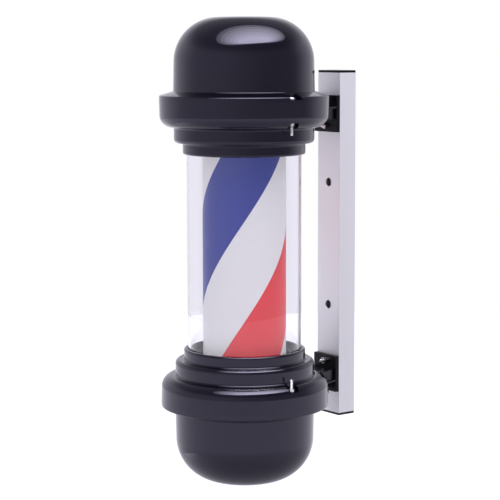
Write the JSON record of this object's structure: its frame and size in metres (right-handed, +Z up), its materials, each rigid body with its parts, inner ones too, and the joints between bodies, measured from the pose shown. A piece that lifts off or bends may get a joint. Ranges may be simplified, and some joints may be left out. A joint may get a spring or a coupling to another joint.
{
  "type": "barber pole light",
  "caption": "Wall-mounted barber pole light: clear tube with a turning red, white and blue striped drum between two black domed caps, bracketed to an aluminium bar.",
  "frame": {"origin": "centre of the wall bar's back face, at mid height", "axes": "+Z up along the lamp, +Y into the wall, +X to the right of someone facing the wall; the lamp's axis is at y = -0.152 m"},
  "size_m": [0.1978, 0.2509, 0.5469],
  "materials": {
    "black_abs": "glossy moulded",
    "black_nylon": "satin moulded",
    "bar_aluminium": "satin anodised",
    "bright_zinc": "bright zinc plated",
    "clear_acrylic": "clear polished",
    "black_rubber": "soft",
    "white_steel": "white powder coat",
    "ivory_plastic": "moulded",
    "brass_contact": "turned",
    "frosted_globe": "opal diffuser",
    "drum_white": "satin film",
    "stripe_blue": "satin printed film",
    "stripe_red": "satin printed film",
    "ferrite": "sintered ferrite",
    "coil_copper": "enamelled copper wire",
    "lead_sheath": "flexible sheath"
  },
  "bodies": {
    "lamp_frame": {"wall_bar": "bar_aluminium", "bar_top_cap": "black_nylon", "bar_bottom_cap": "black_nylon", "upper_bracket": "black_nylon", "lower_bracket": "black_nylon", "bracket_bolts": "bright_zinc", "bracket_nuts": "bright_zinc", "saddle_screws": "bright_zinc", "lug_screws": "bright_zinc", "upper_collar": "black_abs", "lower_collar": "black_abs", "upper_dome": "black_abs", "lower_dome": "black_abs", "collar_bolts": "bright_zinc", "collar_nuts": "bright_zinc", "clear_tube": "clear_acrylic", "upper_tube_gasket": "black_rubber", "lower_tube_gasket": "black_rubber", "upper_dome_seal": "black_rubber", "lower_dome_seal": "black_rubber", "lamp_plate": "white_steel", "motor_plate": "white_steel", "plate_screws": "bright_zinc", "lamp_stem": "bright_zinc", "stem_nuts": "brass_contact", "lamp_holder": "ivory_plastic", "holder_contact": "brass_contact", "bulb_cap": "bright_zinc", "bulb_heatsink": "white_steel", "led_board": "ivory_plastic", "bulb_globe": "frosted_globe", "idler_pin": "bright_zinc", "rotor_pin": "bright_zinc", "motor_coil": "coil_copper", "motor_housing": "bright_zinc", "motor_cover": "bright_zinc", "motor_screws": "bright_zinc", "terminal_block": "ivory_plastic", "terminal_screws": "brass_contact", "light_switch": "black_nylon", "spin_switch": "black_nylon", "cable_gland": "black_nylon", "gland_seal": "black_rubber", "gland_nut": "black_nylon", "lamp_lead": "lead_sheath", "motor_lead": "lead_sheath"},
    "drum": {"drum_sleeve": "drum_white", "blue_band": "stripe_blue", "red_band": "stripe_red", "drum_top_disc": "drum_white", "drum_bush": "ivory_plastic", "drum_bottom_disc": "drum_white", "drum_hub_screw": "bright_zinc", "motor_shaft": "bright_zinc", "output_gear": "ivory_plastic"},
    "idler": {"idler_gear": "ivory_plastic"},
    "rotor": {"motor_rotor": "ferrite"},
    "light_rocker": {"light_rocker": "black_nylon"},
    "spin_rocker": {"spin_rocker": "black_nylon"}
  },
  "joints": [
    {"name": "drum_spin", "type": "hinge", "parent": "lamp_frame", "child": "drum", "pos_m": [0, -0.152, 0], "axis": [0, 0, 1], "continuous": true},
    {"name": "idler_spin", "type": "hinge", "parent": "lamp_frame", "child": "idler", "pos_m": [0.012, -0.152, -0.145], "axis": [0, 0, 1], "continuous": true},
    {"name": "rotor_spin", "type": "hinge", "parent": "lamp_frame", "child": "rotor", "pos_m": [0, -0.152, -0.148], "axis": [0, 0, 1], "continuous": true},
    {"name": "light_rocker_tilt", "type": "hinge", "parent": "lamp_frame", "child": "light_rocker", "pos_m": [-0.0075, -0.152, -0.2689], "axis": [-1, 0, 0], "range_deg": [0, 20]},
    {"name": "spin_rocker_tilt", "type": "hinge", "parent": "lamp_frame", "child": "spin_rocker", "pos_m": [0.0075, -0.152, -0.2689], "axis": [-1, 0, 0], "range_deg": [0, 20]}
  ],
  "couplings": [
    {"joint": "idler_spin", "follows": "drum_spin", "ratio": -4},
    {"joint": "rotor_spin", "follows": "drum_spin", "ratio": 16}
  ]
}
